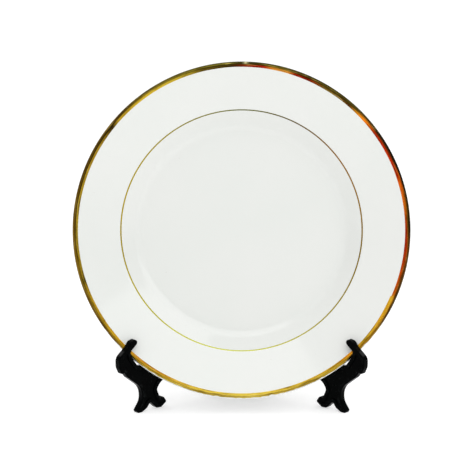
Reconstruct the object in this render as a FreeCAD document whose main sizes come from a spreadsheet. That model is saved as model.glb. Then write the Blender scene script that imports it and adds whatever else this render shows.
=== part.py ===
"""China dinner plate with fired gold bands, held by a two-leaf folding display stand.

Millimetres, +Z up, soles of the stand on z = 0. The plate's face looks towards -Y, leaning back.
The plate is one turned solid with two thin gold skins let into its glaze.
Each stand half is a flat moulding: a spine by the hinge, a nose that the plate's back leans on,
an arch, and a front leg that ends in a scroll and a hook for the rim. Two pins join the halves.
"""

import FreeCAD
import Part
import math
import os
import re

import Sketcher

DOC = FreeCAD.newDocument("plate_on_stand")

# Everything the plate is turned from. Heights are above the plane of the foot ring.
PLATE_SIZES = {
    "plate_radius": 127.0,
    "rim_edge_top": 24.4,
    "rim_edge_low": 20.0,
    "lip_round": 2.1,
    "verge_radius": 91.6,
    "verge_height": 16.2,
    "verge_round": 10.0,
    "well_radius": 78.6,
    "well_height": 7.4,
    "well_round": 12.0,
    "under_rim_radius": 94.4,
    "under_rim_height": 12.4,
    "under_rim_round": 12.0,
    "foot_root_radius": 84.4,
    "foot_root_height": 4.4,
    "foot_root_round": 3.0,
    "foot_outer_radius": 82.0,
    "foot_inner_radius": 77.4,
    "foot_round": 1.4,
    "foot_recess_radius": 75.8,
    "foot_recess_height": 3.2,
    "gilding_thickness": 0.12,
    "rim_band_inner_radius": 122.6,
    "rim_band_low_height": 21.9,
    "verge_line_radius": 91.0,
    "verge_line_width": 0.9,
}

# Where the plate and the hinge stand.
LAYOUT_SIZES = {
    "plate_lean": 15.0,
    "widest_height": 22.0,
    "plate_centre_y": -4.35,
    "plate_centre_z": 135.7,
    "hinge_behind_plate": 40.2,
    "half_opening": 49.0,
}

STAND_SIZES = {
    "leaf_thickness": 5.5,
    "leaf_gap": 0.3,
    "leaf_edge_round": 0.9,
    "border_width": 2.4,
    "web_recess": 0.9,
    "round_tight": 1.2,
    "round_small": 2.0,
    "round_soft": 3.2,
    "round_scroll": 6.0,
    "round_leg": 10.0,
    "round_belly": 12.0,
    "round_sweep": 22.0,
    "knuckle_radius": 4.5,
    "knuckle_length": 7.8,
    "knuckle_gap": 0.35,
    "knuckle_bore": 1.55,
    "knuckle_reach": 6.5,
    "lower_hinge_base": 18.0,
    "upper_hinge_base": 112.0,
    "stop_base": 70.0,
    "stop_length": 14.0,
    "stop_gap": 0.15,
    "pin_radius": 1.5,
    "pin_tail": 0.5,
    "pin_head_radius": 2.7,
    "pin_head_depth": 1.2,
    "pin_head_round": 0.8,
}

# One leaf in its own plane: distance out from the hinge, height, and which round its corner takes.
LEAF_CORNERS = [
    ("tip_back", 102.7, 54.0, "round_small"),
    ("tip_top", 102.0, 58.1, "round_small"),
    ("tip_front", 108.1, 56.6, "round_soft"),
    ("crease", 111.2, 52.6, "round_tight"),
    ("scroll_top", 119.9, 45.7, "round_scroll"),
    ("scroll_side", 119.9, 38.4, "round_scroll"),
    ("curl", 117.2, 32.7, "round_tight"),
    ("curl_under", 115.0, 33.9, "round_tight"),
    ("breast", 112.0, 29.6, "round_soft"),
    ("belly", 98.2, 18.8, "round_belly"),
    ("ankle", 98.2, 8.8, "round_leg"),
    ("toe", 103.6, 1.8, "round_tight"),
    ("toe_sole", 102.2, 0.0, "round_tight"),
    ("toe_heel", 98.5, 0.0, "round_small"),
    ("toe_ball", 93.8, 2.3, "round_soft"),
    ("crotch", 90.4, 6.5, "round_tight"),
    ("claw", 84.6, 0.7, "round_soft"),
    ("claw_sole", 80.0, 0.4, "round_small"),
    ("claw_tip", 74.6, 4.1, "round_tight"),
    ("claw_top", 77.6, 8.5, "round_small"),
    ("instep", 80.8, 7.8, "round_tight"),
    ("shin", 84.1, 15.3, "round_soft"),
    ("arch_front", 80.4, 20.7, "round_leg"),
    ("arch_crown", 56.0, 29.0, "round_sweep"),
    ("arch_back", 36.0, 12.5, "round_leg"),
    ("rear_instep", 28.0, 7.4, "round_small"),
    ("rear_toe", 31.6, 3.8, "round_tight"),
    ("rear_sole", 28.6, 0.0, "round_small"),
    ("rear_heel", 5.0, 0.0, "round_small"),
    ("spine_top", 5.0, 150.0, "round_soft"),
    ("head_back", 11.0, 158.0, "round_soft"),
    ("head_front", 20.0, 159.0, "round_soft"),
    ("nose_high", 25.4, 150.5, "round_soft"),
    ("nose_low", 29.4, 140.5, "round_small"),
    ("neck", 19.0, 130.0, "round_scroll"),
    ("stem_waist", 17.0, 88.0, "round_sweep"),
    ("stem_root", 30.0, 46.0, "round_sweep"),
    ("saddle", 62.0, 38.0, "round_sweep"),
    ("notch_back", 93.6, 39.6, "round_tight"),
    ("notch_floor", 97.8, 36.2, "round_tight"),
    ("notch_front", 102.6, 37.4, "round_tight"),
    ("hook_root", 107.7, 44.6, "round_soft"),
    ("hook_back", 108.9, 49.0, "round_tight"),
]


def sheet_of(sizes):
    """A spreadsheet with one aliased cell for each named size."""
    sheet = DOC.addObject("Spreadsheet::Sheet", "sizes")
    for row, (alias, value) in enumerate(sizes.items(), start=1):
        sheet.set(f"A{row}", alias)
        sheet.set(f"B{row}", str(value))
        sheet.setAlias(f"B{row}", alias)
    DOC.recompute()
    return sheet


def corner_sizes():
    """The leaf corners as sheet cells, two for each corner."""
    cells = {}
    for name, out, height, _ in LEAF_CORNERS:
        cells[f"{name}_out"] = out
        cells[f"{name}_height"] = height
    return cells


SHEET = sheet_of({**PLATE_SIZES, **LAYOUT_SIZES, **STAND_SIZES, **corner_sizes()})


def size(expression):
    """The value of one cell of the sheet, or of an expression of its cells."""
    value = SHEET.evalExpression(in_sheet(expression))
    return float(getattr(value, "Value", value))


def bind(thing, **expressions):
    """Binds properties of a document object to expressions of the sheet's cells."""
    for path, expression in expressions.items():
        thing.setExpression(path.replace("__", "."), in_sheet(expression))


def in_sheet(expression):
    """The expression with the sheet's name before each of its aliases."""
    return re.sub(r"[a-z]\w*_\w*", lambda word: f"sizes.{word.group()}", expression)


def origin_plane(body, role):
    return next(feature for feature in body.Origin.OriginFeatures if feature.Role == role)


def plane_sketch(body, name, role):
    """An empty sketch on one of the body's own origin planes."""
    sketch = body.newObject("Sketcher::SketchObject", name)
    sketch.AttachmentSupport = [(origin_plane(body, role), "")]
    sketch.MapMode = "FlatFace"
    return sketch


def draw_outline(sketch, corners):
    """Straight edges through corners, each a pair of expressions of the sheet's cells."""
    points = [FreeCAD.Vector(size(across), size(along)) for across, along in corners]
    count = len(points)
    for i, point in enumerate(points):
        sketch.addGeometry(Part.LineSegment(point, points[(i + 1) % count]))
    constraints = [Sketcher.Constraint("Coincident", i, 2, (i + 1) % count, 1) for i in range(count)]
    for i, point in enumerate(points):
        constraints.append(Sketcher.Constraint("DistanceX", -1, 1, i, 1, point.x))
        constraints.append(Sketcher.Constraint("DistanceY", -1, 1, i, 1, point.y))
    sketch.addConstraint(constraints)
    for i, corner in enumerate(corners):
        for axis, coordinate in enumerate(corner):
            sketch.setExpression(f"Constraints[{count + 2 * i + axis}]", in_sheet(coordinate))


def round_edges(body, name, edges, radius):
    """A fillet over the tip's named edges, with its radius from the sheet."""
    base = body.Tip
    fillet = body.newObject("PartDesign::Fillet", name)
    fillet.Base = (base, edges)
    bind(fillet, Radius=radius)
    DOC.recompute()
    return fillet


# Plate.

def plate_section(inset):
    """Half section of the plate from its axis, with the front let in by the inset."""
    return [
        ("0", f"well_height - {inset}"),
        ("well_radius", f"well_height - {inset}"),
        ("verge_radius", f"verge_height - {inset}"),
        (f"plate_radius - {inset}", f"rim_edge_top - {inset}"),
        (f"plate_radius - {inset}", "rim_edge_low"),
        ("under_rim_radius", "under_rim_height"),
        ("foot_root_radius", "foot_root_height"),
        ("foot_outer_radius", "0"),
        ("foot_inner_radius", "0"),
        ("foot_recess_radius", "foot_recess_height"),
        ("0", "foot_recess_height"),
    ]


def plate_rounds(inset):
    """The round of each corner of that section, by its place in the list."""
    return {
        1: "well_round",
        2: "verge_round",
        3: f"lip_round - {inset}",
        4: "lip_round",
        5: "under_rim_round",
        6: "foot_root_round",
        7: "foot_round",
        8: "foot_round",
    }


def ring_edges(shape, radius, height):
    """Names of the circular edges with that radius and height."""
    names = []
    for i, edge in enumerate(shape.Edges, start=1):
        if isinstance(edge.Curve, Part.Circle):
            if math.hypot(edge.Curve.Radius - radius, edge.Curve.Center.z - height) < 0.01:
                names.append(f"Edge{i}")
    return names


def turn_section(body, corners):
    """A sketch of the corners turned once round the body's Z axis."""
    sketch = plane_sketch(body, f"{body.Name}_section", "XZ_Plane")
    draw_outline(sketch, corners)
    turn = body.newObject("PartDesign::Revolution", f"{body.Name}_turn")
    turn.Profile = sketch
    turn.ReferenceAxis = (sketch, ["V_Axis"])
    turn.Angle = 360
    DOC.recompute()


def make_blank(name, inset):
    """The whole plate, turned from its half section, with every ring corner rounded."""
    body = DOC.addObject("PartDesign::Body", name)
    section = plate_section(inset)
    turn_section(body, section)
    for number, corner_round in plate_rounds(inset).items():
        radius, height = (size(coordinate) for coordinate in section[number])
        edges = ring_edges(body.Tip.Shape, radius, height)
        round_edges(body, f"{name}_round_{number}", edges, corner_round)
    return body


def cylinder(name, **expressions):
    made = DOC.addObject("Part::Cylinder", name)
    bind(made, **expressions)
    return made


def boolean(kind, name, base, tool):
    made = DOC.addObject(f"Part::{kind}", name)
    made.Base = base
    made.Tool = tool
    return made


def ring_zone(name, inner, outer, low):
    """A tube between two radii, from a height up past the rim, as the place of one gold band."""
    tall = "rim_edge_top"
    disc = cylinder(f"{name}_disc", Radius=outer, Height=tall, Placement__Base__z=low)
    core = cylinder(f"{name}_core", Radius=inner, Height=tall, Placement__Base__z=low)
    return boolean("Cut", name, disc, core)


def make_plate():
    """The glazed body and its two gold skins, all leaning back on the stand."""
    blank = make_blank("plate_blank", "0")
    glaze = make_blank("plate_under_gold", "gilding_thickness")
    half_line = "verge_line_width / 2"
    rim_zone = ring_zone("rim_zone", "rim_band_inner_radius", "plate_radius + 1",
                         "rim_band_low_height")
    line_zone = ring_zone("line_zone", f"verge_line_radius - {half_line}",
                          f"verge_line_radius + {half_line}", "under_rim_height + 1")
    zones = boolean("Fuse", "gold_zones", rim_zone, line_zone)
    made = [
        boolean("Cut", "plate_body", blank, boolean("Cut", "gold_channels", zones, glaze)),
        boolean("Cut", "rim_gold_band", boolean("Common", "rim_stock", blank, rim_zone), glaze),
        boolean("Cut", "verge_gold_line", boolean("Common", "line_stock", blank, line_zone), glaze),
    ]
    lean = math.radians(size("plate_lean"))
    facing = FreeCAD.Vector(0, -math.cos(lean), math.sin(lean))
    centre = FreeCAD.Vector(0, size("plate_centre_y"), size("plate_centre_z"))
    turn = FreeCAD.Rotation(FreeCAD.Vector(0, 0, 1), facing)
    for node in made:
        node.Placement = FreeCAD.Placement(centre - facing * size("widest_height"), turn)
    return made


# Stand.

def corner_edges(shape, out, height):
    """Names of the straight edges that run through the leaf's thickness at one corner."""
    names = []
    for i, edge in enumerate(shape.Edges, start=1):
        ends = [vertex.Point for vertex in edge.Vertexes]
        if len(ends) == 2 and all(math.hypot(p.x - out, p.z - height) < 0.01 for p in ends):
            names.append(f"Edge{i}")
    return names


def perimeter_edges(shape, faces_at):
    """Names of the edges that lie wholly in the leaf's two broad faces."""
    names = []
    for i, edge in enumerate(shape.Edges, start=1):
        box = edge.BoundBox
        if any(abs(box.YMin - y) < 0.01 and abs(box.YMax - y) < 0.01 for y in faces_at):
            names.append(f"Edge{i}")
    return names


def add_leaf(body, side):
    """The leaf itself: outline, rounded corners and rounded rims, on its own side of the hinge axis."""
    sketch = plane_sketch(body, f"{body.Name}_outline", "XZ_Plane")
    bind(sketch, AttachmentOffset__Base__z=f"{-side} * leaf_gap")
    draw_outline(sketch, [(f"{name}_out", f"{name}_height") for name, *_ in LEAF_CORNERS])
    pad = body.newObject("PartDesign::Pad", f"{body.Name}_leaf")
    pad.Profile = sketch
    pad.Reversed = side > 0
    bind(pad, Length="leaf_thickness")
    DOC.recompute()
    for alias in sorted({corner[3] for corner in LEAF_CORNERS}):
        edges = []
        for _, out, height, corner_round in LEAF_CORNERS:
            if corner_round == alias:
                edges += corner_edges(body.Tip.Shape, out, height)
        round_edges(body, f"{body.Name}_{alias}", edges, alias)
    rims = perimeter_edges(body.Tip.Shape, broad_faces(side))
    round_edges(body, f"{body.Name}_rims", rims, "leaf_edge_round")


def broad_faces(side):
    """Where the leaf's two broad faces lie: the one towards the other leaf, then the outside one."""
    gap = size("leaf_gap")
    return side * gap, side * (gap + size("leaf_thickness"))


def flat_curve(edge, level):
    """An edge in the plane y = level as the geometry of a sketch in that plane."""
    flat = edge.copy()
    flat.transformShape(FreeCAD.Matrix(1, 0, 0, 0, 0, 0, 1, 0, 0, -1, 0, level, 0, 0, 0, 1))
    if isinstance(flat.Curve, Part.Circle):
        return Part.ArcOfCircle(flat.Curve, *flat.ParameterRange)
    return Part.LineSegment(flat.Vertexes[0].Point, flat.Vertexes[-1].Point)


def add_web_recess(body, level, reversed_cut):
    """A shallow recess in the broad face at y = level, which leaves an even raised border."""
    face = next(f for f in body.Tip.Shape.Faces
                if isinstance(f.Surface, Part.Plane) and f.BoundBox.YLength < 0.001
                and abs(f.BoundBox.YMin - level) < 0.01)
    inset = face.makeOffset2D(-size("border_width"))
    web = max(inset.Wires, key=lambda wire: wire.Length)
    sketch = plane_sketch(body, f"{body.Name}_web_{int(reversed_cut)}", "XZ_Plane")
    sketch.AttachmentOffset = FreeCAD.Placement(FreeCAD.Vector(0, 0, -level), FreeCAD.Rotation())
    for edge in web.Edges:
        sketch.addGeometry(flat_curve(edge, level))
    pocket = body.newObject("PartDesign::Pocket", f"{body.Name}_recess_{int(reversed_cut)}")
    pocket.Profile = sketch
    pocket.Reversed = reversed_cut
    bind(pocket, Length="web_recess")
    DOC.recompute()


def add_knuckle(body, name, base, side):
    """One hinge knuckle: a barrel round the pin, and the block that joins it to the leaf."""
    barrel = body.newObject("PartDesign::AdditiveCylinder", f"{name}_barrel")
    bind(barrel, Radius="knuckle_radius", Height="knuckle_length", Placement__Base__z=base)
    block = body.newObject("PartDesign::AdditiveBox", f"{name}_block")
    near_face = "leaf_gap" if side > 0 else "-leaf_gap - leaf_thickness"
    bind(block, Length="knuckle_reach", Width="leaf_thickness", Height="knuckle_length",
         Placement__Base__y=near_face, Placement__Base__z=base)


def add_stop(body, side):
    """The lug behind the hinge axis that meets its twin when the stand is open."""
    near = "2 * leaf_gap"
    far = "(leaf_gap + leaf_thickness - leaf_edge_round)"
    corners = [("knuckle_reach", near), ("knuckle_reach", far)]
    for off in (far, near):
        meeting = f"stop_gap / sin(half_opening * 1 deg) - {off} / tan(half_opening * 1 deg)"
        corners.append((meeting, off))
    sketch = plane_sketch(body, f"{body.Name}_stop_section", "XY_Plane")
    bind(sketch, AttachmentOffset__Base__z="stop_base")
    draw_outline(sketch, [(out, f"{side} * {off}") for out, off in corners])
    lug = body.newObject("PartDesign::Pad", f"{body.Name}_stop")
    lug.Profile = sketch
    bind(lug, Length="stop_length")


def bore(body, name, station):
    """The pin's hole through one hinge station."""
    hole = body.newObject("PartDesign::SubtractiveCylinder", name)
    bind(hole, Radius="knuckle_bore", Height="3 * knuckle_length + 2 * knuckle_gap + 2",
         Placement__Base__z=f"{station} - 1")


def make_leaf(name, side, knuckle_steps):
    """One stand half. knuckle_steps says which of the three knuckles at each station are its own."""
    body = DOC.addObject("PartDesign::Body", name)
    add_leaf(body, side)
    inner, outer = broad_faces(side)
    add_web_recess(body, min(inner, outer), False)
    add_web_recess(body, max(inner, outer), True)
    for station in ("lower_hinge_base", "upper_hinge_base"):
        for step in knuckle_steps:
            base = f"{station} + {step} * (knuckle_length + knuckle_gap)"
            add_knuckle(body, f"{name}_{station}_{step}", base, side)
    add_stop(body, side)
    for station in ("lower_hinge_base", "upper_hinge_base"):
        bore(body, f"{name}_{station}_bore", station)
    turn = -90 + size("half_opening") if side > 0 else -90 - size("half_opening")
    body.Placement = FreeCAD.Placement(FreeCAD.Vector(), FreeCAD.Rotation(FreeCAD.Vector(0, 0, 1), turn))
    bind(body, Placement__Base__y="plate_centre_y + hinge_behind_plate")
    return body


def make_pin(name, station):
    """A hinge pin with a low domed head above its station."""
    body = DOC.addObject("PartDesign::Body", name)
    top = "3 * knuckle_length + 3 * knuckle_gap"
    head_top = f"{top} + pin_head_depth"
    turn_section(body, [("0", "-pin_tail"), ("pin_radius", "-pin_tail"), ("pin_radius", top),
                        ("pin_head_radius", top), ("pin_head_radius", head_top), ("0", head_top)])
    rim = ring_edges(body.Tip.Shape, size("pin_head_radius"), size(head_top))
    round_edges(body, f"{name}_dome", rim, "pin_head_round")
    bind(body, Placement__Base__y="plate_centre_y + hinge_behind_plate",
         Placement__Base__z=f"{station}")
    return body


def check_document():
    """Stops on any object that recomputed into a failed state."""
    for thing in DOC.Objects:
        if "Invalid" in thing.State or "Error" in thing.State:
            raise RuntimeError(f"{thing.Name} failed: {thing.getStatusString()}")


def export(nodes):
    """Writes each node's solid to parts/NODE.step."""
    os.makedirs("parts", exist_ok=True)
    for node in nodes:
        shape = node.Shape
        if shape.isNull() or not shape.isValid() or len(shape.Solids) != 1:
            raise RuntimeError(f"{node.Label} is not one valid solid")
        shape.exportStep(f"parts/{node.Label}.step")
        box = shape.optimalBoundingBox()
        print(f"{node.Label:20} {shape.Volume:10.1f} mm3  x {box.XMin:7.2f} {box.XMax:7.2f}"
              f"  y {box.YMin:7.2f} {box.YMax:7.2f}  z {box.ZMin:7.2f} {box.ZMax:7.2f}")


NODES = make_plate()
NODES.append(make_leaf("left_stand_half", -1, (1,)))
NODES.append(make_leaf("right_stand_half", 1, (0, 2)))
NODES.append(make_pin("lower_hinge_pin", "lower_hinge_base"))
NODES.append(make_pin("upper_hinge_pin", "upper_hinge_base"))
DOC.recompute()
check_document()
export(NODES)
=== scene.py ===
"""Looks of a china dinner plate on its folding stand.

The plate is lathed again here as one smooth glazed body, with its gold rim and line as thin fired films.
The stand's halves and pins keep their own shapes and get moulded plastic and steel.
Lengths are in metres in the frame's own axes: +Z up, the plate's face towards -Y.
"""

import math

import bpy
from mathutils import Matrix, Vector, noise


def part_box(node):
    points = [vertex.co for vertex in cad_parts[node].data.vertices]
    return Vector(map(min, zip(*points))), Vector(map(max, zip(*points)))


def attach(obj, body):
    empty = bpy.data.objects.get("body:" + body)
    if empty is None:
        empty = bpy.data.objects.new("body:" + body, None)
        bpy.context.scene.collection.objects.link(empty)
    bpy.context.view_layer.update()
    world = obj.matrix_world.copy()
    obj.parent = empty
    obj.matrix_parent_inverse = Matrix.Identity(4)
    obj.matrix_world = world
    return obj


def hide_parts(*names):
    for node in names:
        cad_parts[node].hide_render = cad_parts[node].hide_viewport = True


MM = 0.001
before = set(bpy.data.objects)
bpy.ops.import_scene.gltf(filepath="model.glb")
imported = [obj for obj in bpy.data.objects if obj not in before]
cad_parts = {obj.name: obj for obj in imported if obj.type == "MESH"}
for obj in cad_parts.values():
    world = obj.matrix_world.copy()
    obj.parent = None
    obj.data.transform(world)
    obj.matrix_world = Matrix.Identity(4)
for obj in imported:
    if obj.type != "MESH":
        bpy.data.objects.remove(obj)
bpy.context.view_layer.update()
SCENE = bpy.context.scene

# The plate's own frame: origin at the middle of the foot ring's plane, Z out through the face.
PLATE_LEAN = math.radians(15)
FACING = Vector((0, -math.cos(PLATE_LEAN), math.sin(PLATE_LEAN)))
UPWARD = Vector((0, math.sin(PLATE_LEAN), math.cos(PLATE_LEAN)))
VERGE_LINE_HEIGHT = 16.0 * MM
WIDEST_HEIGHT = 22.0 * MM


def middle(node):
    """The middle of a CAD node's box."""
    low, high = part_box(node)
    return (low + high) / 2


PLATE_BASE = middle("verge_gold_line") - FACING * VERGE_LINE_HEIGHT
PLATE_CENTRE = PLATE_BASE + FACING * WIDEST_HEIGHT
PLATE_FRAME = Matrix((
    (1, 0, 0, PLATE_BASE.x),
    (0, UPWARD.y, FACING.y, PLATE_BASE.y),
    (0, UPWARD.z, FACING.z, PLATE_BASE.z),
    (0, 0, 0, 1),
))


# ------------------------------------------------------------------ node helpers

def new_material(name):
    """A material with its Principled shader, and a short way to add nodes to it."""
    material = bpy.data.materials.new(name)
    material.use_nodes = True
    return material, Graph(material.node_tree)


class Graph:
    """Adds and links nodes of one node tree."""

    def __init__(self, tree):
        self.tree = tree
        self.shader = tree.nodes.get("Principled BSDF")

    def add(self, kind, **settings):
        node = self.tree.nodes.new(kind)
        for name, value in settings.items():
            setattr(node, name, value)
        return node

    def link(self, source, target):
        self.tree.links.new(source, target)

    def object_place(self):
        return self.add("ShaderNodeTexCoord").outputs["Object"]

    def plate_place(self):
        """The place in the plate's own frame, on a piece whose mesh is in the frame's axes."""
        mapping = self.add("ShaderNodeMapping", vector_type="TEXTURE")
        mapping.inputs["Location"].default_value = PLATE_FRAME.translation
        mapping.inputs["Rotation"].default_value = PLATE_FRAME.to_euler()
        self.link(self.object_place(), mapping.inputs["Vector"])
        return mapping.outputs["Vector"]

    def split(self, place):
        """The X, Y and Z of a place."""
        node = self.add("ShaderNodeSeparateXYZ")
        self.link(place, node.inputs["Vector"])
        return tuple(node.outputs)

    def noise(self, place, scale, detail, roughness=0.5):
        node = self.add("ShaderNodeTexNoise")
        node.inputs["Scale"].default_value = scale
        node.inputs["Detail"].default_value = detail
        node.inputs["Roughness"].default_value = roughness
        self.link(place, node.inputs["Vector"])
        return node.outputs["Fac"]

    def ramp(self, factor, stops):
        """A colour ramp from (position, colour) stops."""
        node = self.add("ShaderNodeValToRGB")
        elements = node.color_ramp.elements
        while len(elements) < len(stops):
            elements.new(0.5)
        for element, (position, colour) in zip(elements, stops):
            element.position = position
            element.color = (*colour, 1)
        self.link(factor, node.inputs["Fac"])
        return node.outputs["Color"]

    def remap(self, value, low, high, to_low, to_high):
        """The value's share of low to high, held to those ends, as a share of to_low to to_high."""
        node = self.add("ShaderNodeMapRange")
        names = ("From Min", "From Max", "To Min", "To Max")
        for name, number in zip(names, (low, high, to_low, to_high)):
            node.inputs[name].default_value = number
        self.link(value, node.inputs["Value"])
        return node.outputs["Result"]

    def maths(self, operation, first, second=None):
        node = self.add("ShaderNodeMath", operation=operation)
        for socket, value in zip(node.inputs, (first, second)):
            if isinstance(value, bpy.types.NodeSocket):
                self.link(value, socket)
            elif value is not None:
                socket.default_value = value
        return node.outputs[0]

    def mix(self, factor, first, second, blend="MIX"):
        node = self.add("ShaderNodeMix", data_type="RGBA", blend_type=blend)
        for socket, value in zip((node.inputs[0], node.inputs[6], node.inputs[7]), (factor, first, second)):
            if isinstance(value, bpy.types.NodeSocket):
                self.link(value, socket)
            elif isinstance(value, tuple):
                socket.default_value = (*value, 1)
            else:
                socket.default_value = value
        return node.outputs[2]

    def bump(self, height, strength, distance):
        node = self.add("ShaderNodeBump")
        node.inputs["Strength"].default_value = strength
        node.inputs["Distance"].default_value = distance
        self.link(height, node.inputs["Height"])
        self.link(node.outputs["Normal"], self.shader.inputs["Normal"])

    def set(self, **values):
        for name, value in values.items():
            self.shader.inputs[name.replace("_", " ")].default_value = value


# ------------------------------------------------------------------ turned shapes

def rounded(corners, steps=10):
    """A polyline of (radius, height) through corners given as (radius, height, round)."""
    points = [Vector(corners[0][:2])]
    for before, corner, after in zip(corners, corners[1:], corners[2:]):
        here = Vector(corner[:2])
        back = (Vector(before[:2]) - here).normalized()
        on = (Vector(after[:2]) - here).normalized()
        half = back.angle(on) / 2
        reach = corner[2] / math.tan(half)
        centre = here + (back + on).normalized() * corner[2] / math.sin(half)
        start = here + back * reach - centre
        sweep = math.pi - 2 * half
        turn = 1 if start.cross(here + on * reach - centre) > 0 else -1
        for step in range(steps + 1):
            angle = turn * sweep * step / steps
            spin = Matrix.Rotation(angle, 2)
            points.append(centre + spin @ start)
    points.append(Vector(corners[-1][:2]))
    return points


def subdivided(points, longest):
    """The polyline with points added until no stretch is longer than that."""
    out = [points[0]]
    for start, end in zip(points, points[1:]):
        count = max(1, math.ceil((end - start).length / longest))
        out += [start.lerp(end, (i + 1) / count) for i in range(count)]
    return out


def turned(name, rows, material):
    """A smooth mesh from rows of points in the plate's frame, where a row of one point is a pole."""
    verts = [PLATE_FRAME @ point for row in rows for point in row]
    faces = []
    start = 0
    for first, second in zip(rows, rows[1:]):
        following = start + len(first)
        count = max(len(first), len(second))
        for i in range(count):
            j = (i + 1) % count
            if len(first) == 1:
                faces.append((start, following + j, following + i))
            elif len(second) == 1:
                faces.append((start + i, start + j, following))
            else:
                faces.append((start + i, start + j, following + j, following + i))
        start = following
    mesh = bpy.data.meshes.new(name)
    mesh.from_pydata(verts, [], faces)
    mesh.polygons.foreach_set("use_smooth", [True] * len(mesh.polygons))
    mesh.materials.append(material)
    mesh.update()
    piece = bpy.data.objects.new(name, mesh)
    SCENE.collection.objects.link(piece)
    return piece


def spun(point, angle):
    """A (radius, height) point of the half section, turned to that angle."""
    return Vector((point.x * math.cos(angle), point.x * math.sin(angle), point.y))


# Half section of the plate, in millimetres: radius, height, round.
SECTION = [
    (0.0, 7.4, 0.0),
    (78.6, 7.4, 12.0),
    (91.6, 16.2, 10.0),
    (127.0, 24.4, 2.1),
    (127.0, 20.0, 2.1),
    (94.4, 12.4, 12.0),
    (84.4, 4.4, 3.0),
    (82.0, 0.0, 1.4),
    (77.4, 0.0, 1.4),
    (75.8, 3.2, 1.2),
    (0.0, 3.2, 0.0),
]
SEGMENTS = 288
LONGEST_STRETCH = 4 * MM
PROFILE = subdivided(rounded([(r * MM, z * MM, f * MM) for r, z, f in SECTION]), LONGEST_STRETCH)


class Track:
    """The plate's front section measured along its own length, from the centre outwards."""

    def __init__(self, points):
        self.points = points
        self.marks = [0.0]
        for start, end in zip(points, points[1:]):
            self.marks.append(self.marks[-1] + (end - start).length)

    def at(self, mark, lift):
        """The point that far along, lifted off the glaze."""
        i = max(1, min(len(self.marks) - 1, sum(m < mark for m in self.marks)))
        start, end = self.points[i - 1], self.points[i]
        along = (mark - self.marks[i - 1]) / (self.marks[i] - self.marks[i - 1])
        run = (end - start).normalized()
        return start.lerp(end, along) + Vector((-run.y, run.x)) * lift

    def mark_at_radius(self, radius):
        """How far along the front the section first reaches that radius."""
        for i, point in enumerate(self.points):
            if point.x >= radius:
                before = self.points[i - 1]
                share = (radius - before.x) / (point.x - before.x)
                return self.marks[i - 1] + share * (self.marks[i] - self.marks[i - 1])
        raise ValueError("the plate is smaller than that")


FRONT = Track(PROFILE)
FILM_LIFT = 0.045 * MM


def gilded(name, inner, outer, rows_across, segments, material):
    """A fired gold film on the plate's front between two edges, each a function of the angle.

    It lies just over the glaze, and its edges are tucked just under.
    """
    rows = []
    for row in range(rows_across + 1):
        share = row / rows_across
        lift = FILM_LIFT if 0 < row < rows_across else -FILM_LIFT / 2
        points = []
        for i in range(segments):
            angle = math.tau * i / segments
            mark = inner(angle) + share * (outer(angle) - inner(angle))
            points.append(spun(FRONT.at(mark, lift), angle))
        rows.append(points)
    return turned(name, rows, material)


def waver(angle, fineness, seed):
    """A smooth random wander round the plate, from about -1 to 1."""
    return noise.noise(Vector((math.cos(angle) * fineness, math.sin(angle) * fineness, seed)))


# ------------------------------------------------------------------ materials

def turn_of(graph, x, y):
    """The angle round the plate from its right-hand side, as 0 to 1 anticlockwise."""
    turn = graph.maths("DIVIDE", graph.maths("ARCTAN2", y, x), math.tau)
    return graph.maths("FRACT", graph.maths("ADD", turn, 1.0))


def radius_of(graph, x, y):
    """The distance from the plate's axis."""
    squares = [graph.maths("MULTIPLY", part, part) for part in (x, y)]
    return graph.maths("SQRT", graph.maths("ADD", *squares))


GLAZE_COOL = (0.725, 0.745, 0.715)
GLAZE_WARM = (0.745, 0.755, 0.730)
SPECK_TONE = (0.55, 0.53, 0.48)
BISCUIT_DARK = (0.58, 0.55, 0.50)
BISCUIT_PALE = (0.74, 0.72, 0.67)
# The biscuit is bare up to the first height, and glazed from the second.
BARE_BELOW = 0.45 * MM
GLAZED_ABOVE = 0.75 * MM
FOOT_RING_INNER = 76.5 * MM


def porcelain():
    """Clear glaze over cool white porcelain with fine specks, and bare biscuit under the foot ring."""
    material, graph = new_material("glazed_porcelain")
    place = graph.plate_place()
    x, y, z = graph.split(place)
    white = graph.ramp(graph.noise(place, 14, 3), [(0.3, GLAZE_COOL), (0.7, GLAZE_WARM)])
    speck = graph.maths("GREATER_THAN", graph.noise(place, 520, 1), 0.80)
    specked = graph.mix(graph.maths("MULTIPLY", speck, 0.25), white, SPECK_TONE)
    low = graph.remap(z, BARE_BELOW, GLAZED_ABOVE, 1.0, 0.0)
    on_ring = graph.maths("GREATER_THAN", radius_of(graph, x, y), FOOT_RING_INNER)
    bare = graph.maths("MULTIPLY", low, on_ring)
    biscuit = graph.ramp(graph.noise(place, 900, 4), [(0.3, BISCUIT_DARK), (0.7, BISCUIT_PALE)])
    graph.link(graph.mix(bare, specked, biscuit), graph.shader.inputs["Base Color"])
    ripple = graph.remap(graph.noise(place, 60, 2), 0.3, 0.7, 0.05, 0.09)
    roughness = graph.maths("ADD", ripple, graph.maths("MULTIPLY", bare, 0.75))
    graph.link(roughness, graph.shader.inputs["Roughness"])
    graph.set(IOR=1.5, Coat_Weight=0.25, Coat_Roughness=0.03)
    grain = graph.maths("MULTIPLY", graph.noise(place, 1500, 3), bare)
    waves = graph.maths("ADD", graph.noise(place, 38, 2), grain)
    graph.bump(waves, strength=0.12, distance=0.4 * MM)
    return material


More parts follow.
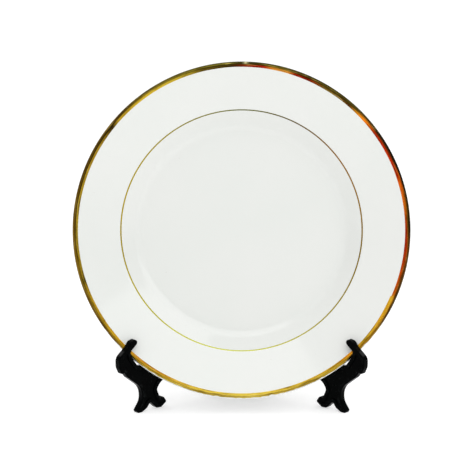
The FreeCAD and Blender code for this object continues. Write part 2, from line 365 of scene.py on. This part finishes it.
# Fired gold round the rim, with painted reflections: each tone stands for surroundings mirrored in the
# gold, in degrees anticlockwise from the right-hand side: inner, middle and outer tone.
RIM_REFLECTION_TONES = [
    (0, (0.60, 0.050, 0.006), (0.22, 0.100, 0.008), (0.030, 0.016, 0.004)),
    (4, (0.60, 0.100, 0.006), (0.30, 0.150, 0.010), (0.020, 0.012, 0.004)),
    (8, (0.85, 0.200, 0.008), (0.40, 0.130, 0.007), (0.070, 0.040, 0.005)),
    (16, (0.95, 0.170, 0.008), (0.75, 0.110, 0.006), (0.020, 0.010, 0.003)),
    (19, (0.42, 0.015, 0.003), (0.80, 0.140, 0.007), (0.010, 0.007, 0.003)),
    (24, (0.55, 0.025, 0.003), (0.36, 0.050, 0.005), (0.012, 0.008, 0.003)),
    (36, (0.50, 0.030, 0.004), (0.22, 0.030, 0.004), (0.016, 0.010, 0.003)),
    (42, (0.98, 0.270, 0.010), (0.50, 0.160, 0.008), (0.050, 0.035, 0.005)),
    (46, (0.55, 0.220, 0.010), (0.12, 0.060, 0.005), (0.040, 0.030, 0.004)),
    (49, (0.09, 0.030, 0.004), (0.05, 0.030, 0.004), (0.050, 0.038, 0.005)),
    (60, (0.13, 0.070, 0.006), (0.06, 0.035, 0.004), (0.070, 0.054, 0.006)),
    (66, (0.30, 0.020, 0.003), (0.05, 0.020, 0.003), (0.035, 0.026, 0.004)),
    (71, (0.40, 0.020, 0.003), (0.05, 0.020, 0.003), (0.060, 0.046, 0.006)),
    (74, (0.75, 0.320, 0.040), (0.16, 0.100, 0.010), (0.060, 0.046, 0.006)),
    (79, (0.60, 0.220, 0.020), (0.14, 0.090, 0.008), (0.080, 0.068, 0.008)),
    (82, (0.40, 0.015, 0.004), (0.05, 0.030, 0.004), (0.080, 0.068, 0.008)),
    (87.6, (0.25, 0.012, 0.003), (0.03, 0.020, 0.004), (0.050, 0.042, 0.006)),
    # A painted glint on the outer ring: a narrow pale highlight near the top.
    (88.6, (0.22, 0.020, 0.004), (0.10, 0.080, 0.010), (0.620, 0.600, 0.320)),
    (89.6, (0.16, 0.015, 0.004), (0.03, 0.020, 0.004), (0.050, 0.042, 0.006)),
    (94, (0.05, 0.030, 0.004), (0.05, 0.035, 0.004), (0.100, 0.085, 0.011)),
    (104, (0.14, 0.090, 0.008), (0.04, 0.028, 0.004), (0.130, 0.108, 0.013)),
    (110, (0.50, 0.360, 0.030), (0.22, 0.170, 0.015), (0.130, 0.104, 0.012)),
    (125, (0.62, 0.420, 0.030), (0.30, 0.200, 0.014), (0.120, 0.085, 0.009)),
    (138, (0.52, 0.330, 0.022), (0.12, 0.065, 0.006), (0.070, 0.040, 0.005)),
    (141.5, (0.03, 0.015, 0.003), (0.015, 0.008, 0.003), (0.090, 0.050, 0.005)),
    (146, (0.30, 0.180, 0.012), (0.02, 0.010, 0.003), (0.120, 0.070, 0.007)),
    (155, (0.45, 0.280, 0.020), (0.07, 0.035, 0.004), (0.160, 0.090, 0.007)),
    (180, (0.52, 0.360, 0.030), (0.10, 0.050, 0.005), (0.220, 0.120, 0.009)),
    (196, (0.40, 0.260, 0.016), (0.30, 0.180, 0.012), (0.200, 0.120, 0.009)),
    (198, (0.07, 0.060, 0.010), (0.20, 0.130, 0.010), (0.160, 0.100, 0.008)),
    (200, (0.45, 0.280, 0.016), (0.34, 0.210, 0.013), (0.140, 0.080, 0.007)),
    (222, (0.44, 0.260, 0.014), (0.40, 0.250, 0.015), (0.120, 0.060, 0.006)),
    (231, (0.36, 0.160, 0.010), (0.46, 0.280, 0.018), (0.300, 0.180, 0.012)),
    (243, (0.34, 0.180, 0.012), (0.50, 0.340, 0.030), (0.360, 0.240, 0.018)),
    (255, (0.48, 0.340, 0.036), (0.52, 0.370, 0.054), (0.420, 0.290, 0.030)),
    (270, (0.50, 0.370, 0.048), (0.54, 0.390, 0.066), (0.460, 0.330, 0.042)),
    (290, (0.46, 0.310, 0.028), (0.58, 0.410, 0.058), (0.420, 0.280, 0.027)),
    (305, (0.50, 0.290, 0.017), (0.56, 0.390, 0.036), (0.400, 0.250, 0.018)),
    (311, (0.80, 0.300, 0.012), (0.46, 0.220, 0.012), (0.200, 0.100, 0.008)),
    (318, (0.62, 0.400, 0.025), (0.30, 0.150, 0.009), (0.340, 0.180, 0.010)),
    (327, (0.90, 0.450, 0.018), (0.60, 0.270, 0.012), (0.080, 0.035, 0.005)),
    (335.5, (0.95, 0.520, 0.030), (0.70, 0.300, 0.012), (0.060, 0.030, 0.004)),
    (337, (0.85, 0.180, 0.009), (0.50, 0.120, 0.008), (0.060, 0.030, 0.004)),
    (345, (0.85, 0.120, 0.007), (0.35, 0.070, 0.006), (0.100, 0.040, 0.005)),
    (352, (0.55, 0.030, 0.004), (0.60, 0.090, 0.006), (0.120, 0.045, 0.005)),
    (360, (0.60, 0.050, 0.006), (0.22, 0.100, 0.008), (0.030, 0.016, 0.004)),
]
RIM_BAND_INNER = 122.6 * MM
RIM_BAND_OUTER = 126.9 * MM
# Where the rings change over, as shares of the band's width.
INNER_TO_MIDDLE = (0.38, 0.46)
MIDDLE_TO_OUTER = (0.54, 0.64)
# Cells of the streaks' noise: along the rim per metre, and across the whole band.
STREAKS_ALONG = 75
STREAKS_ACROSS = 4.5
STREAK_SHADES = [(0.34, (0.42, 0.38, 0.34)), (0.5, (0.95, 0.95, 0.95)), (0.66, (1.0, 1.0, 1.0))]
# Tone of the painted glints on the rim's gold.
PAINTED_GLINT_TONE = (0.80, 0.62, 0.16)


def ring_tone(graph, turn, ring):
    """One ring's painted reflection tone at each place round the rim, from one ramp for each half turn."""
    halves = []
    for start in (0, 180):
        end = start + 180
        rows = [row for row in RIM_REFLECTION_TONES if start <= row[0] <= end]
        stops = [((row[0] - start) / 180, row[ring]) for row in rows]
        halves.append(graph.ramp(graph.remap(turn, start / 360, end / 360, 0.0, 1.0), stops))
    return graph.mix(graph.maths("GREATER_THAN", turn, 0.5), *halves)


def streaks_of(graph, x, y, across):
    """Noise that is drawn out lengthways along the rim."""
    strip = graph.add("ShaderNodeCombineXYZ")
    graph.link(graph.maths("MULTIPLY", x, STREAKS_ALONG), strip.inputs["X"])
    graph.link(graph.maths("MULTIPLY", y, STREAKS_ALONG), strip.inputs["Y"])
    graph.link(graph.maths("MULTIPLY", across, STREAKS_ACROSS), strip.inputs["Z"])
    return graph.noise(strip.outputs["Vector"], 1.0, 3, 0.6)


def rim_gold():
    """Burnished gold with painted reflections and painted glints: its tone drifts round the rim in three
    rough rings, under lengthways streaks.
    """
    material, graph = new_material("rim_gold")
    place = graph.plate_place()
    x, y, _ = graph.split(place)
    turn = turn_of(graph, x, y)
    across = graph.remap(radius_of(graph, x, y), RIM_BAND_INNER, RIM_BAND_OUTER, 0.0, 1.0)
    drift = graph.maths("SUBTRACT", graph.noise(place, 34, 3), 0.5)
    rough_across = graph.maths("ADD", across, graph.maths("MULTIPLY", drift, 0.25))
    inner, middle, outer = (ring_tone(graph, turn, ring) for ring in (1, 2, 3))
    tone = graph.mix(graph.remap(rough_across, *INNER_TO_MIDDLE, 0.0, 1.0), inner, middle)
    tone = graph.mix(graph.remap(rough_across, *MIDDLE_TO_OUTER, 0.0, 1.0), tone, outer)
    streak = streaks_of(graph, x, y, across)
    tone = graph.mix(1.0, tone, graph.ramp(streak, STREAK_SHADES), "MULTIPLY")
    # Painted glints: the brightest streaks are screened towards a pale gold highlight tone.
    painted_glint = graph.remap(streak, 0.58, 0.72, 0.0, 0.35)
    tone = graph.mix(painted_glint, tone, PAINTED_GLINT_TONE, "SCREEN")
    graph.link(tone, graph.shader.inputs["Base Color"])
    graph.set(Metallic=1.0)
    brushed = graph.noise(place, 900, 3)
    graph.link(graph.remap(brushed, 0.3, 0.7, 0.14, 0.28), graph.shader.inputs["Roughness"])
    graph.bump(brushed, strength=0.2, distance=0.1 * MM)
    return material


# The thin line's gold with painted reflections, by share of a turn anticlockwise from the right-hand side.
LINE_REFLECTION_TONES = [
    (0.00, (0.30, 0.180, 0.014)),
    (0.10, (0.24, 0.110, 0.012)),
    (0.17, (0.10, 0.065, 0.010)),
    (0.25, (0.12, 0.130, 0.024)),
    (0.40, (0.34, 0.260, 0.006)),
    (0.50, (0.46, 0.340, 0.004)),
    (0.62, (0.30, 0.270, 0.010)),
    (0.75, (0.42, 0.440, 0.050)),
    (0.90, (0.36, 0.270, 0.018)),
    (1.00, (0.30, 0.180, 0.014)),
]


def line_gold():
    """The thin line's duller gold with painted reflections, yellow or olive on most of its turn and brown
    at the upper right.
    """
    material, graph = new_material("line_gold")
    place = graph.plate_place()
    x, y, _ = graph.split(place)
    graph.link(graph.ramp(turn_of(graph, x, y), LINE_REFLECTION_TONES), graph.shader.inputs["Base Color"])
    graph.set(Metallic=1.0)
    dulled = graph.remap(graph.noise(place, 400, 3), 0.3, 0.7, 0.22, 0.36)
    graph.link(dulled, graph.shader.inputs["Roughness"])
    return material


BLACK_DEEP = (0.0003, 0.0005, 0.0005)
BLACK_PALE = (0.0008, 0.0012, 0.0012)
RUBBED_GREY = (0.030, 0.034, 0.035)


def black_plastic():
    """Glossy black moulding: faint orange peel, flow lines, and edges rubbed a little greyer."""
    material, graph = new_material("gloss_black_moulding")
    place = graph.object_place()
    black = graph.ramp(graph.noise(place, 60, 4), [(0.3, BLACK_DEEP), (0.7, BLACK_PALE)])
    pointiness = graph.add("ShaderNodeNewGeometry").outputs["Pointiness"]
    edge = graph.remap(pointiness, 0.515, 0.56, 0.0, 1.0)
    scuffs = graph.remap(graph.noise(place, 420, 5, 0.7), 0.52, 0.66, 0.0, 1.0)
    worn = graph.maths("MULTIPLY", graph.maths("MULTIPLY", edge, scuffs), 0.6)
    graph.link(graph.mix(worn, black, RUBBED_GREY), graph.shader.inputs["Base Color"])
    gloss = graph.remap(graph.noise(place, 150, 4), 0.3, 0.7, 0.10, 0.20)
    rubbed = graph.maths("ADD", gloss, graph.maths("MULTIPLY", worn, 0.25))
    graph.link(rubbed, graph.shader.inputs["Roughness"])
    graph.set(IOR=1.49, Specular_IOR_Level=0.018)
    peel = graph.noise(place, 260, 2)
    flow = graph.add("ShaderNodeTexWave")
    flow.inputs["Scale"].default_value = 9
    flow.inputs["Distortion"].default_value = 6
    flow.inputs["Detail"].default_value = 3
    graph.link(place, flow.inputs["Vector"])
    relief = graph.maths("ADD", peel, graph.maths("MULTIPLY", flow.outputs["Fac"], 0.35))
    graph.bump(relief, strength=0.10, distance=0.6 * MM)
    return material


WIRE_DARK = (0.42, 0.42, 0.43)
WIRE_PALE = (0.62, 0.62, 0.63)
DRAWN_OUT = (1, 1, 0.03)


def steel():
    """Plain bright wire with fine lines drawn along it."""
    material, graph = new_material("pin_wire")
    stretch = graph.add("ShaderNodeMapping")
    stretch.inputs["Scale"].default_value = DRAWN_OUT
    graph.link(graph.object_place(), stretch.inputs["Vector"])
    drawn = graph.noise(stretch.outputs["Vector"], 2600, 4)
    wire = graph.ramp(drawn, [(0.3, WIRE_DARK), (0.7, WIRE_PALE)])
    graph.link(wire, graph.shader.inputs["Base Color"])
    graph.set(Metallic=1.0)
    graph.link(graph.remap(drawn, 0.3, 0.7, 0.22, 0.38), graph.shader.inputs["Roughness"])
    graph.bump(drawn, strength=0.25, distance=0.08 * MM)
    return material


# ------------------------------------------------------------------ pieces

def settle(piece, body, slot, *nodes):
    """Hangs a finished piece on its body, in place of CAD nodes."""
    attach(piece, body)
    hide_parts(*nodes)


def paint(node, material):
    """Gives a CAD node that keeps its shape its finished material."""
    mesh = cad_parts[node].data
    mesh.materials.clear()
    mesh.materials.append(material)


POLE_RADIUS = 1e-6


def make_plate():
    """The porcelain itself: front, lip, back and foot ring in one turned skin."""
    rows = []
    for point in PROFILE:
        if point.x < POLE_RADIUS:
            rows.append([spun(point, 0)])
        else:
            rows.append([spun(point, math.tau * i / SEGMENTS) for i in range(SEGMENTS)])
    plate = turned("porcelain_plate", rows, porcelain())
    settle(plate, "plate", "porcelain", "plate_body")


def waver(angle, fineness, seed):
    """A smooth random wander round the plate, from about -1 to 1."""
    return noise.noise(Vector((math.cos(angle) * fineness, math.sin(angle) * fineness, seed)))


OVER_LIP = 0.5 * MM
# Where two coats of gold meet, the inner edge runs further in over this sweep, in radians, and then ends.
LAP_END = math.radians(336)
LAP_SWEEP = 0.25
LAP_DEPTH = 0.7 * MM
# The gold stops short of the lip for this sweep to each side of the bottom, then nears it over the fade.
BOTTOM = 1.5 * math.pi
BOTTOM_SWEEP = 0.75
BOTTOM_FADE = 0.35
BARE_LIP = 1.6 * MM
SCALLOP_DEPTH = 1.5 * MM
RAGGED_DEPTH = 0.25 * MM
INNER_WAVER = 0.08 * MM


def lap_at(angle):
    """How much further in the rim's gold reaches at its lap."""
    if angle >= LAP_END:
        return 0.0
    return LAP_DEPTH * max(0, 1 - (LAP_END - angle) / LAP_SWEEP)


def lowness(angle):
    """1 along the bottom of the rim, fading to 0 on the way up each side."""
    off_bottom = abs((angle - BOTTOM + math.pi) % math.tau - math.pi)
    return 1 - min(1, max(0, (off_bottom - BOTTOM_SWEEP) / BOTTOM_FADE))


def make_rim_band():
    """The rim's gold, which along the bottom has a scalloped edge that stops short of the lip."""
    start = FRONT.mark_at_radius(RIM_BAND_INNER)
    end = FRONT.mark_at_radius(RIM_BAND_OUTER) + OVER_LIP

    def inner(angle):
        return start + INNER_WAVER * waver(angle, 9, 1.0) - lap_at(angle)

    def outer(angle):
        low = lowness(angle)
        scallops = SCALLOP_DEPTH * max(0, waver(angle, 24, 7.0) - 0.05)
        ragged = RAGGED_DEPTH * (waver(angle, 50, 2.0) + waver(angle, 22, 5.0))
        return end - low * (BARE_LIP + scallops) + ragged * (0.2 + low)

    band = gilded("rim_gilding", inner, outer, rows_across=14, segments=1080, material=rim_gold())
    settle(band, "plate", "gold", "rim_gold_band")


LINE_RADIUS = 91.0 * MM
# Half the line's width at the top and bottom, what the sides add, and how much it wavers.
LINE_HALF_WIDTH = 0.58 * MM
LINE_SWELL = 0.14 * MM
LINE_WAVER = 0.02 * MM


def make_verge_line():
    """The thin gold line where the rim breaks into the well."""
    middle_mark = FRONT.mark_at_radius(LINE_RADIUS)

    def edge(side, seed):
        def mark(angle):
            swell = LINE_SWELL * math.cos(angle) ** 2
            half_width = LINE_HALF_WIDTH + swell + LINE_WAVER * waver(angle, 40, seed)
            return middle_mark + side * half_width
        return mark

    near, far = edge(-1, 3.0), edge(1, 4.0)
    line = gilded("verge_gilding", near, far, rows_across=4, segments=720, material=line_gold())
    settle(line, "plate", "gold", "verge_gold_line")


# ------------------------------------------------------------------ stage, light and camera

def add_area(name, size, power, place, target):
    """A white rectangular lamp that faces its target."""
    data = bpy.data.lights.new(name, "AREA")
    data.shape = "RECTANGLE"
    data.size, data.size_y = size
    data.energy = power
    light = bpy.data.objects.new(name, data)
    light.location = place
    light.rotation_euler = (Vector(target) - Vector(place)).to_track_quat("-Z", "Y").to_euler()
    SCENE.collection.objects.link(light)


FLOOR_REACH = 40.0
FLOOR_TONE = (0.6, 0.6, 0.6, 1)
FLOOR_GLOW = 0.55
WHITE = (1, 1, 1, 1)


def make_floor():
    """A pale floor that runs out of sight, with a glow of its own that lifts its shadows."""
    mesh = bpy.data.meshes.new("floor")
    signs = ((-1, -1), (1, -1), (1, 1), (-1, 1))
    mesh.from_pydata([(x * FLOOR_REACH, y * FLOOR_REACH, 0) for x, y in signs], [], [(0, 1, 2, 3)])
    floor = bpy.data.objects.new("floor", mesh)
    SCENE.collection.objects.link(floor)
    material, graph = new_material("pale_floor")
    graph.set(Base_Color=FLOOR_TONE, Roughness=0.9, Specular_IOR_Level=0.0)
    graph.set(Emission_Color=WHITE, Emission_Strength=FLOOR_GLOW)
    mesh.materials.append(material)


# Parts of the surround's strength. Each changes between two places on its axis, from one value to another.
WALLS = (0.80, 0.97, 0.0, -0.08)
CEILING = (0.15, 0.90, 0.0, 0.85)
DEPTH = (-0.5, 0.3, 0.32, 0.26)
HORIZON = (0.10, 0.32, 0.74, 0.0)


def make_surround():
    """A soft white surround, brighter overhead and at the horizon, and darker behind and to the sides."""
    world = bpy.data.worlds.new("surround")
    world.use_nodes = True
    SCENE.world = world
    graph = Graph(world.node_tree)
    x, y, z = graph.split(graph.add("ShaderNodeTexCoord").outputs["Generated"])
    walls = graph.remap(graph.maths("ABSOLUTE", x), *WALLS)
    ceiling = graph.remap(z, *CEILING)
    depth = graph.remap(y, *DEPTH)
    horizon = graph.remap(z, *HORIZON)
    total = graph.maths("ADD", graph.maths("ADD", walls, ceiling), graph.maths("ADD", depth, horizon))
    background = world.node_tree.nodes["Background"]
    background.inputs["Color"].default_value = WHITE
    graph.link(total, background.inputs["Strength"])


SENSOR_WIDTH = 36
FOCAL_LENGTH = 154.6
CAMERA_ELEVATION = math.radians(12)
CAMERA_DISTANCE = 1.5
# How far left of and below the plate's centre the camera is moved, which sets the plate in the picture.
CAMERA_LEFT = 6.8 * MM
CAMERA_BELOW = 2.25 * MM


def camera():
    """A long lens in front of the plate and a little above it."""
    data = bpy.data.cameras.new("camera")
    data.sensor_width = SENSOR_WIDTH
    data.lens = FOCAL_LENGTH
    eye = bpy.data.objects.new("camera", data)
    forward = Vector((0, math.cos(CAMERA_ELEVATION), -math.sin(CAMERA_ELEVATION)))
    above = Vector((0, math.sin(CAMERA_ELEVATION), math.cos(CAMERA_ELEVATION)))
    back = PLATE_CENTRE - forward * CAMERA_DISTANCE
    eye.location = back - Vector((CAMERA_LEFT, 0, 0)) - above * CAMERA_BELOW
    eye.rotation_euler = (math.pi / 2 - CAMERA_ELEVATION, 0, 0)
    SCENE.collection.objects.link(eye)
    SCENE.camera = eye


camera()
make_floor()
make_surround()
add_area("key", size=(1.8, 1.3), power=6.6, place=(0.45, -0.8, 1.25), target=(0, 0, 0.1))
for side in (-1, 1):
    high_behind = (0.91 * side, 0.53, 0.86)
    near_foot = (0.08 * side, -0.03, 0.04)
    add_area(f"rear_{side}", size=(0.3, 0.3), power=1.6, place=high_behind, target=near_foot)
SCENE.view_settings.view_transform = "Standard"

make_plate()
make_rim_band()
make_verge_line()
plastic = black_plastic()
paint("left_stand_half", plastic)
paint("right_stand_half", plastic)
pins = steel()
paint("lower_hinge_pin", pins)
paint("upper_hinge_pin", pins)
